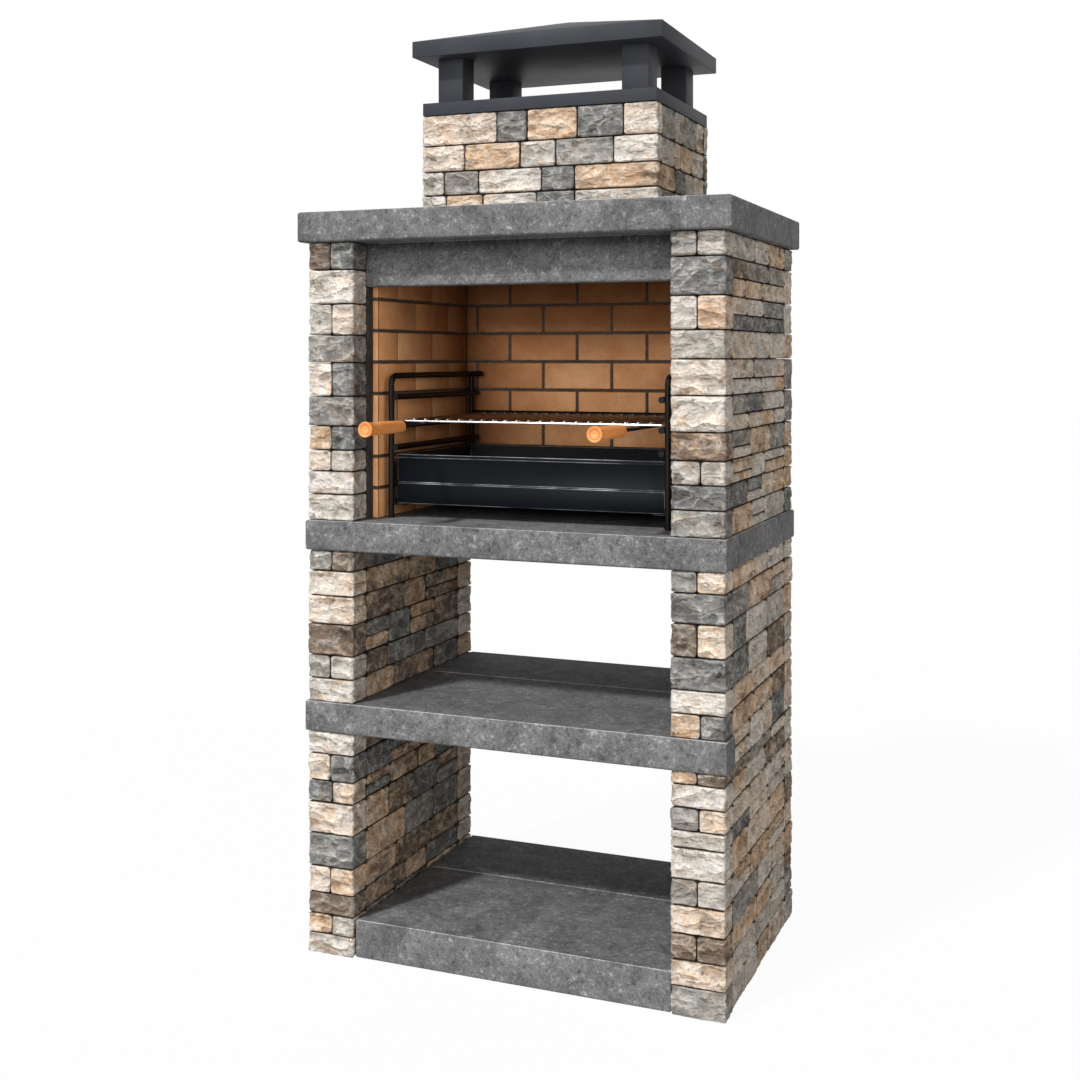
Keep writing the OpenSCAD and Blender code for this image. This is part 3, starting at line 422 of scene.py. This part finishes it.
height = add("Math", {0: pores, 1: 0.18, 2: middle}, operation="MULTIPLY_ADD").outputs[0]
bump = add("Bump", {"Height": height, "Strength": 1.0, "Distance": 0.0095})
tree.links.new(bump.outputs["Normal"], shader.inputs["Normal"])

front_columns = {
    "left_lower": "ash tan ash umber cream tan slate cream slate cream cream slate white",
    "left_middle": "white grey ash umber cream cream grey umber",
    "left_upper": "ash white cream ash tan slate grey cream slate grey ash cream white umber slate",
    "right_lower": "grey cream umber umber cream grey ash white ash grey cream white tan umber",
    "right_middle": "tan slate white slate umber cream slate grey cream",
    "right_upper": "grey slate ash ash umber white cream ash white tan slate grey ash",
}
for number, (column, tones) in enumerate(front_columns.items()):
    split_stones(column + "_front_blocks", column + "_corner_stones",
                 [(1, -1, 0.013), (0, -1, 0.008), (0, 1, 0.008)], 20 + number, tones.split())
for number, column in enumerate(("left_lower", "left_upper", "right_lower", "right_upper")):
    split_stones(column + "_rear_blocks", column + "_rear_stones",
                 [(1, 1, 0.012), (0, -1, 0.008), (0, 1, 0.008)], 40 + number, lot_of=PALE_LOT)

# Coursed stones on the outer and inner sides of the walls
# Thinner split stones of the same lot, bonded to the cores in rows that meet the corner
# blocks' beds. Their backs are sawn flat.
for number, wall in enumerate(("left_lower", "left_upper", "right_lower", "right_upper")):
    side = -1 if wall.startswith("left") else 1
    split_stones(wall + "_outer_facing", wall + "_outer_stones", [(0, side, 0.008)], 60 + number,
                 rows_along=1, lot_of=PALE_LOT)
for number, wall in enumerate(("left_lower", "left_middle", "right_lower", "right_middle")):
    side = 1 if wall.startswith("left") else -1
    split_stones(wall + "_inner_facing", wall + "_inner_stones", [(0, side, 0.008)], 80 + number,
                 rows_along=1, lot_of=WARM_LOT)

# Firebricks and the mortar they are bedded in
# Smooth fired clay bricks, tan to orange, with slightly rounded arrises. The mortar is dark
# and raked back a little; on the side walls the bricks butt and only the beds show.
mortar, tree, shader, add = blank_material("raked fire mortar", 0.95)
place = add("TexCoord").outputs["Object"]
sand = add("TexNoise", {"Vector": place, "Scale": 300.0, "Detail": 4.0, "Roughness": 0.7})
soot_and_shade = add("TexNoise", {"Vector": place, "Scale": 12.0, "Detail": 3.0})
colour = ramp(add, sand.outputs["Fac"], [(0.3, paint(58, 50, 44)), (0.7, paint(104, 92, 82))])
smoke_and_shade = ramp(add, soot_and_shade.outputs["Fac"], [(0.35, (0.75, 0.75, 0.75, 1)), (0.65, (1, 1, 1, 1))])
tree.links.new(mix(add, 1.0, colour, smoke_and_shade, "MULTIPLY"), shader.inputs["Base Color"])
bump = add("Bump", {"Height": sand.outputs["Fac"], "Strength": 0.5, "Distance": 0.0008})
tree.links.new(bump.outputs["Normal"], shader.inputs["Normal"])

fired_clay, tree, shader, add = blank_material("fired clay", 0.86)
shader.inputs["Specular IOR Level"].default_value = 0.2
here = add("TexCoord").outputs["Object"]
moved = add("Attribute", attribute_name="rock_place", attribute_type="GEOMETRY").outputs["Vector"]
batch = add("Attribute", attribute_name="tone", attribute_type="GEOMETRY").outputs["Fac"]
place = add("VectorMath", {0: here, 1: moved}, operation="ADD").outputs["Vector"]
firing = add("TexNoise", {"Vector": place, "Scale": 11.0, "Detail": 5.0, "Roughness": 0.6}).outputs["Fac"]
grog = add("TexNoise", {"Vector": place, "Scale": 210.0, "Detail": 5.0, "Roughness": 0.7}).outputs["Fac"]
tint = add("Math", {0: firing, 1: batch}, operation="ADD").outputs[0]
colour = ramp(add, tint, [
    (0.30, paint(232, 165, 112)), (0.50, paint(249, 185, 131)), (0.72, paint(255, 202, 151))])
specks = ramp(add, grog, [
    (0.28, (0.62, 0.58, 0.54, 1)), (0.42, (0.97, 0.97, 0.97, 1)), (0.68, (1.07, 1.07, 1.07, 1))])
colour = mix(add, 0.8, colour, specks, "MULTIPLY")
# Painted shade over some soot: the bricks darken towards the throat at the top, towards the back corners and
# towards the back of the side walls, where the lintel and the columns keep the light out; the front of the
# side walls is painted a little lighter.
back_low, back_high = reach("back_firebricks")
side_low, side_high = reach("left_firebricks")
chamber_h = back_high.z - back_low.z
across, inward, upward = add("SeparateXYZ", {"Vector": here}).outputs[:3]
throat = add("MapRange", {"Value": upward, "From Min": back_low.z + 0.49 * chamber_h,
                          "From Max": back_low.z + 0.73 * chamber_h, "To Min": 1.0, "To Max": 0.34})
off_middle = add("Math", {0: across}, operation="ABSOLUTE").outputs[0]
corner = add("MapRange", {"Value": off_middle, "From Min": 0.18 * back_high.x, "From Max": back_high.x,
                          "To Min": 1.0, "To Max": 0.24})
deep = add("MapRange", {"Value": inward, "From Min": side_low.y, "From Max": side_high.y,
                        "To Min": 1.1, "To Max": 0.32})
on_back = add("Math", {0: throat.outputs[0], 1: corner.outputs[0]}, operation="MINIMUM").outputs[0]
half_throat = add("Math", {0: throat.outputs[0], 1: 0.4, 2: 0.6}, operation="MULTIPLY_ADD").outputs[0]
on_sides = add("Math", {0: half_throat, 1: deep.outputs[0]}, operation="MULTIPLY").outputs[0]
unshaded = add("MapRange", {"Value": inward, "From Min": side_high.y - 0.04, "From Max": side_high.y,
                         "To Min": on_sides, "To Max": on_back}).outputs["Result"]
soot_and_shade = ramp(add, unshaded, [(0.0, (0.03, 0.02, 0.01, 1)), (0.35, (0.36, 0.30, 0.24, 1)), (1.0, (1, 1, 1, 1))])
colour = mix(add, 1.0, colour, soot_and_shade, "MULTIPLY")
tree.links.new(colour, shader.inputs["Base Color"])
bump = add("Bump", {"Height": grog, "Strength": 0.35, "Distance": 0.0008})
tree.links.new(bump.outputs["Normal"], shader.inputs["Normal"])

# The rounded arrises of the bricks take a darker clay: painted shade along the joints, which makes them read
# wider.
shaded_brick_arris, tree, shader, add = blank_material("painted shade on brick arrises", 0.9)
place = add("TexCoord").outputs["Object"]
arris_mottle = add("TexNoise", {"Vector": place, "Scale": 60.0, "Detail": 5.0}).outputs["Fac"]
tree.links.new(ramp(add, arris_mottle, [(0.35, paint(78, 52, 34)), (0.65, paint(150, 108, 76))]),
               shader.inputs["Base Color"])

kiln = random.Random(7)
for wall in ("left", "right", "back"):
    finish_node(wall + "_mortar_bed", mortar)
    bricks = own_copy(wall + "_firebricks", wall + "_brick_lining")
    lining = bmesh.new()
    lining.from_mesh(bricks.data)
    tone_layer = lining.verts.layers.float.new("tone")
    shift_layer = lining.verts.layers.float_vector.new("rock_place")
    waiting = set(lining.verts)
    for first in sorted(lining.verts, key=lambda v: (round(v.co.z, 3), v.co.x, v.co.y)):
        if first not in waiting:
            continue
        tone, shift = kiln.uniform(-0.14, 0.14), Vector([kiln.uniform(-5, 5) for _ in range(3)])
        queue = [first]
        waiting.remove(first)
        while queue:
            vert = queue.pop()
            vert[tone_layer] = tone
            vert[shift_layer] = shift
            for edge in vert.link_edges:
                other = edge.other_vert(vert)
                if other in waiting:
                    waiting.remove(other)
                    queue.append(other)
    lining.to_mesh(bricks.data)
    lining.free()
    bricks.data.materials.append(fired_clay)
    bricks.data.materials.append(shaded_brick_arris)
    round_edges(bricks, 0.0016, 2, 1)
    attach(bricks, "structure")
    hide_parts(wall + "_firebricks")

# Jambs beside the fire opening
# Smooth dark cast strips that close the gap between the corner blocks and the brick lining.
# The lintel stands on their heads.
jamb_dark = cast_concrete("smooth dark concrete", paint(48, 47, 47), paint(64, 62, 61), paint(84, 82, 80))
for node in ("left_jamb", "right_jamb"):
    jamb = own_copy(node, node + "_cast")
    jamb.data.materials.append(jamb_dark)
    round_edges(jamb, 0.0015, 2)
    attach(jamb, "structure")
    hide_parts(node)

# Chimney stones
# Four courses of split stone round the flue block. The front and back courses run to the
# corners, so their end stones show a face on two sides.
chimney_front = ("ash tan white slate ash ash grey white slate tan cream tan ash grey white"
                 " cream slate tan slate cream")
split_stones("chimney_stones", "chimney_split_stones",
             [(1, -1, 0.011), (1, 1, 0.011), (0, -1, 0.008), (0, 1, 0.008)], 101, chimney_front.split())

# Cap of the chimney: base ring, posts, soffit and roof
# Folded sheet steel, powder coated in a satin anthracite, with small bend radii.
anthracite, tree, shader, add = blank_material("anthracite powder coat", 0.5)
shader.inputs["Specular IOR Level"].default_value = 0.1
place = add("TexCoord").outputs["Object"]
orange_peel = add("TexNoise", {"Vector": place, "Scale": 900.0, "Detail": 2.0}).outputs["Fac"]
dust = add("TexNoise", {"Vector": place, "Scale": 9.0, "Detail": 6.0, "Roughness": 0.6}).outputs["Fac"]
tree.links.new(ramp(add, dust, [(0.3, paint(51, 53, 58)), (0.7, paint(61, 63, 68))]),
               shader.inputs["Base Color"])
tree.links.new(add("MapRange", {"Value": dust, "To Min": 0.42, "To Max": 0.6}).outputs["Result"],
               shader.inputs["Roughness"])
bump = add("Bump", {"Height": orange_peel, "Strength": 0.08, "Distance": 0.0003})
tree.links.new(bump.outputs["Normal"], shader.inputs["Normal"])
for node in ("cap_base_ring", "cap_posts", "cap_soffit", "cap_roof"):
    sheet = own_copy(node, node + "_folded")
    sheet.data.materials.append(anthracite)
    round_edges(sheet, 0.0009, 2)
    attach(sheet, "structure")
    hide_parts(node)

# Grill rack
# Round steel tube, bent and welded, with angle runners for the tray, all painted
# heat-proof black.
heat_black, tree, shader, add = blank_material("heat-proof black", 0.38)
shader.inputs["Specular IOR Level"].default_value = 0.15
place = add("TexCoord").outputs["Object"]
haze = add("TexNoise", {"Vector": place, "Scale": 30.0, "Detail": 5.0}).outputs["Fac"]
tree.links.new(ramp(add, haze, [(0.3, paint(8, 8, 8)), (0.7, paint(15, 14, 14))]),
               shader.inputs["Base Color"])
tree.links.new(add("MapRange", {"Value": haze, "To Min": 0.3, "To Max": 0.5}).outputs["Result"],
               shader.inputs["Roughness"])
for node in ("rack_left_frame", "rack_right_frame", "rack_rear_bars", "handle_shanks"):
    finish_node(node, heat_black)

# Charcoal tray
# Black enamelled sheet steel, folded, with a ledge pressed across the front and a hem
# round the rim. It slides on the rack's runners.
tray_black, tree, shader, add = blank_material("satin black enamel", 0.4)
shader.inputs["Specular IOR Level"].default_value = 0.1
place = add("TexCoord").outputs["Object"]
smear = add("TexNoise", {"Vector": place, "Scale": 6.0, "Detail": 5.0, "Roughness": 0.55}).outputs["Fac"]
tree.links.new(ramp(add, smear, [(0.3, paint(6, 9, 14)), (0.7, paint(11, 15, 20))]),
               shader.inputs["Base Color"])
tree.links.new(add("MapRange", {"Value": smear, "To Min": 0.32, "To Max": 0.5}).outputs["Result"],
               shader.inputs["Roughness"])
# The rounded bends, the rim hem and the front ledge take a paler grey: painted highlight where the bends
# catch the light.
tray_bend_highlight, tree, shader, add = blank_material("painted highlight on the tray bends", 0.35)
place = add("TexCoord").outputs["Object"]
bend_mottle = add("TexNoise", {"Vector": place, "Scale": 14.0, "Detail": 4.0}).outputs["Fac"]
tree.links.new(ramp(add, bend_mottle, [(0.38, paint(46, 50, 56)), (0.66, paint(168, 172, 178))]),
               shader.inputs["Base Color"])
tray = own_copy("charcoal_tray", "charcoal_tray_folded")
tray.data.materials.append(tray_black)
tray.data.materials.append(tray_bend_highlight)
round_edges(tray, 0.0010, 2, 1)
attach(tray, "tray")
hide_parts("charcoal_tray")

# Cooking grid
# Chromed steel: a frame rod with two stiffeners below and cross wires welded on top. The
# wires have gone brown with heat between their ends.
chrome, tree, shader, add = blank_material("bright chrome", 0.18)
shader.inputs["Metallic"].default_value = 1.0
place = add("TexCoord").outputs["Object"]
film = add("TexNoise", {"Vector": place, "Scale": 40.0, "Detail": 4.0}).outputs["Fac"]
bright = ramp(add, film, [(0.3, paint(222, 222, 224)), (0.7, paint(244, 244, 246))])
wires_low, wires_high = reach("grid_wires")
wire_half = (wires_high.y - wires_low.y) / 2
inward = add("SeparateXYZ", {"Vector": place}).outputs["Y"]
from_middle = add("Math", {0: inward, 1: wires_low.y + wire_half}, operation="SUBTRACT").outputs[0]
from_middle = add("Math", {0: from_middle}, operation="ABSOLUTE").outputs[0]
near_end = add("MapRange", {"Value": from_middle, "From Min": wire_half - 0.021,
                            "From Max": wire_half - 0.006}).outputs["Result"]
browned = ramp(add, near_end, [(0.0, (0.16, 0.11, 0.08, 1)), (1.0, (1, 1, 1, 1))])
tree.links.new(mix(add, 1.0, bright, browned, "MULTIPLY"), shader.inputs["Base Color"])
tree.links.new(add("MapRange", {"Value": film, "To Min": 0.14, "To Max": 0.3}).outputs["Result"],
               shader.inputs["Roughness"])
for node in ("grid_frame", "grid_wires"):
    finish_node(node, chrome)

# Wooden grips
# Turned beech, stained orange-brown and varnished, pushed on to the shanks. The stain has
# run into the ring that is turned round each dished end.
grip_wood, tree, shader, add = blank_material("varnished beech", 0.42)
place = add("TexCoord").outputs["Object"]
along = add("Mapping", {"Vector": place, "Scale": (60.0, 5.0, 60.0)}).outputs["Vector"]
fibre = add("TexNoise", {"Vector": along, "Scale": 6.0, "Detail": 6.0, "Roughness": 0.6}).outputs["Fac"]
colour = ramp(add, fibre, [
    (0.30, paint(238, 144, 74)), (0.5, paint(251, 164, 92)), (0.7, paint(255, 184, 116))])
grips_low, grips_high = reach("handle_grips")
grip_radius = (grips_high.z - grips_low.z) / 2
across, inward, upward = add("SeparateXYZ", {"Vector": place}).outputs[:3]
off_middle = add("Math", {0: across}, operation="ABSOLUTE").outputs[0]
beside = add("Math", {0: off_middle, 1: grips_high.x - grip_radius}, operation="SUBTRACT").outputs[0]
above = add("Math", {0: upward, 1: grips_low.z + grip_radius}, operation="SUBTRACT").outputs[0]
from_axis = add("CombineXYZ", {0: beside, 1: above}).outputs[0]
radius = add("VectorMath", {0: from_axis}, operation="LENGTH").outputs["Value"]
# The end faces are painted a little darker than the sides, as painted shade that offsets the key lamp
# lighting the ends more; the dark ring is the stain in the turned ring.
turned = ramp(add, add("Math", {0: radius, 1: 60.0}, operation="MULTIPLY").outputs[0], [
    (0.00, (0.72, 0.68, 0.64, 1)), (0.10, (0.90, 0.88, 0.86, 1)), (0.42, (0.86, 0.84, 0.82, 1)),
    (0.56, (0.46, 0.38, 0.33, 1)), (0.68, (0.88, 0.86, 0.84, 1)), (0.88, (1.0, 1.0, 1.0, 1))])
end_face = add("MapRange", {"Value": inward, "From Min": grips_low.y + 0.005,
                            "From Max": grips_low.y + 0.006, "To Min": 1.0, "To Max": 0.0}).outputs["Result"]
colour = mix(add, end_face, colour, mix(add, 1.0, colour, turned, "MULTIPLY"))
tree.links.new(colour, shader.inputs["Base Color"])
bump = add("Bump", {"Height": fibre, "Strength": 0.12, "Distance": 0.0004})
tree.links.new(bump.outputs["Normal"], shader.inputs["Normal"])
finish_node("handle_grips", grip_wood)

# Camera, floor and light
# The camera stands level at chest height, front right, with a rising front. A soft key comes
# from the front left over a bright even surround.
camera_data = bpy.data.cameras.new("camera")
camera_data.lens = 48.125
camera_data.sensor_width = 36
camera_data.shift_y = -0.1693
camera = bpy.data.objects.new("camera", camera_data)
camera.location = (1.135, -2.9146, 1.2444)
camera.rotation_euler = (radians(90), 0, radians(21.995))
bpy.context.scene.collection.objects.link(camera)
bpy.context.scene.camera = camera

bpy.ops.object.select_all(action="DESELECT")
bpy.ops.mesh.primitive_plane_add(size=60, location=(0, 0, -0.0005))
floor = bpy.context.object
floor.name = "floor"
pale_floor, tree, shader, add = blank_material("pale floor", 0.9)
shader.inputs["Base Color"].default_value = (0.5, 0.5, 0.5, 1)
white = add("Emission", {"Color": (1, 1, 1, 1), "Strength": 1.03})
rays = add("LightPath").outputs
seen = add("Math", {0: rays["Is Camera Ray"], 1: rays["Is Glossy Ray"]}, operation="MAXIMUM").outputs[0]
seen = add("Math", {0: seen, 1: rays["Is Transmission Ray"]}, operation="MAXIMUM").outputs[0]
share = add("Math", {0: seen, 1: 0.93}, operation="MULTIPLY").outputs[0]
blend = add("MixShader", {0: share, 1: shader.outputs[0], 2: white.outputs[0]})
tree.links.new(blend.outputs[0], tree.nodes["Material Output"].inputs["Surface"])
floor.data.materials.append(pale_floor)


def lamp(name, energy, spread, towards, colour=(1, 1, 1)):
    """A distant lamp with a soft edge of so many degrees, shining along a direction."""
    data = bpy.data.lights.new(name, "SUN")
    data.energy = energy
    data.angle = radians(spread)
    data.color = colour
    light = bpy.data.objects.new(name, data)
    light.rotation_euler = Vector(towards).to_track_quat("-Z", "Y").to_euler()
    bpy.context.scene.collection.objects.link(light)


lamp("key", 2.75, 5, (0.273, 0.652, -0.707))
lamp("fill", 1.2, 24, (0.05, 0.99, -0.12))
lamp("side", 0.78, 40, (-0.80, 0.56, -0.20), (1.0, 0.92, 0.82))

world = bpy.data.worlds.new("surround")
bpy.context.scene.world = world
world.use_nodes = True
nodes, links = world.node_tree.nodes, world.node_tree.links
surround = nodes["Background"]
surround.inputs["Color"].default_value = (1, 1, 1, 1)
surround.inputs["Strength"].default_value = 0.2
backdrop = nodes.new("ShaderNodeBackground")
backdrop.inputs["Color"].default_value = (1, 1, 1, 1)
backdrop.inputs["Strength"].default_value = 1.0
path = nodes.new("ShaderNodeLightPath")
either = nodes.new("ShaderNodeMath")
either.operation = "MAXIMUM"
links.new(path.outputs["Is Camera Ray"], either.inputs[0])
links.new(path.outputs["Is Glossy Ray"], either.inputs[1])
any_of_three = nodes.new("ShaderNodeMath")
any_of_three.operation = "MAXIMUM"
links.new(either.outputs[0], any_of_three.inputs[0])
links.new(path.outputs["Is Transmission Ray"], any_of_three.inputs[1])
choice = nodes.new("ShaderNodeMixShader")
links.new(any_of_three.outputs[0], choice.inputs[0])
links.new(surround.outputs[0], choice.inputs[1])
links.new(backdrop.outputs[0], choice.inputs[2])
links.new(choice.outputs[0], nodes["World Output"].inputs["Surface"])
